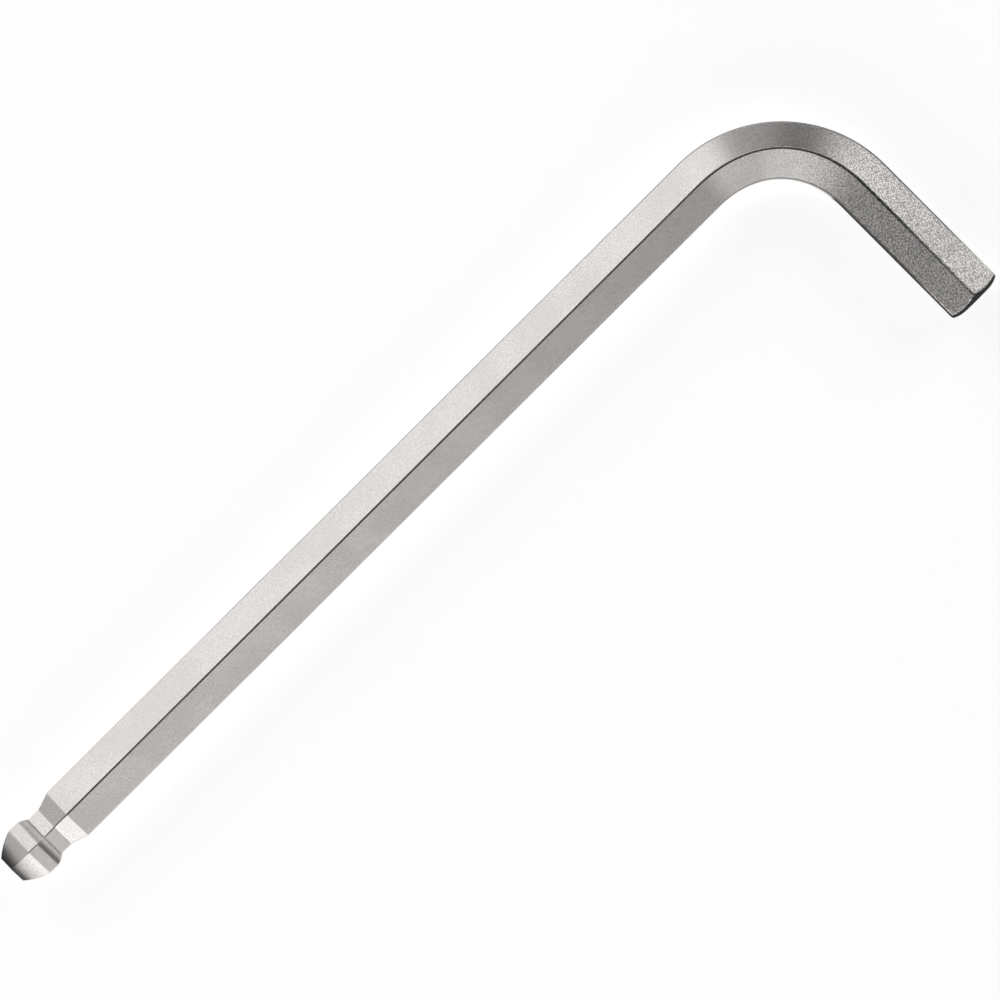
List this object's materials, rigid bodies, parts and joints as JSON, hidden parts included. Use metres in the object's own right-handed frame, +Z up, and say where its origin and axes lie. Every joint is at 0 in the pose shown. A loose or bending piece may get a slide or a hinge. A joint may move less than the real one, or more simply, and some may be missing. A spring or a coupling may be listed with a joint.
{
  "type": "hex key",
  "caption": "L-shaped key of hexagonal steel bar, with a six-sided ball end on the long arm and a rounded end on the short arm.",
  "frame": {"origin": "on the surface that the key lies on, under the middle of its outline", "axes": "+X along the long arm from the ball to the bend, the short arm points to -Y, +Z up out of the plane of the two arms"},
  "size_m": [0.187, 0.0515, 0.0113],
  "materials": {
    "plated_steel": "satin nickel and chrome plate with a fine even grain"
  },
  "bodies": {
    "root": {"hex_key": "plated_steel"}
  },
  "joints": []
}
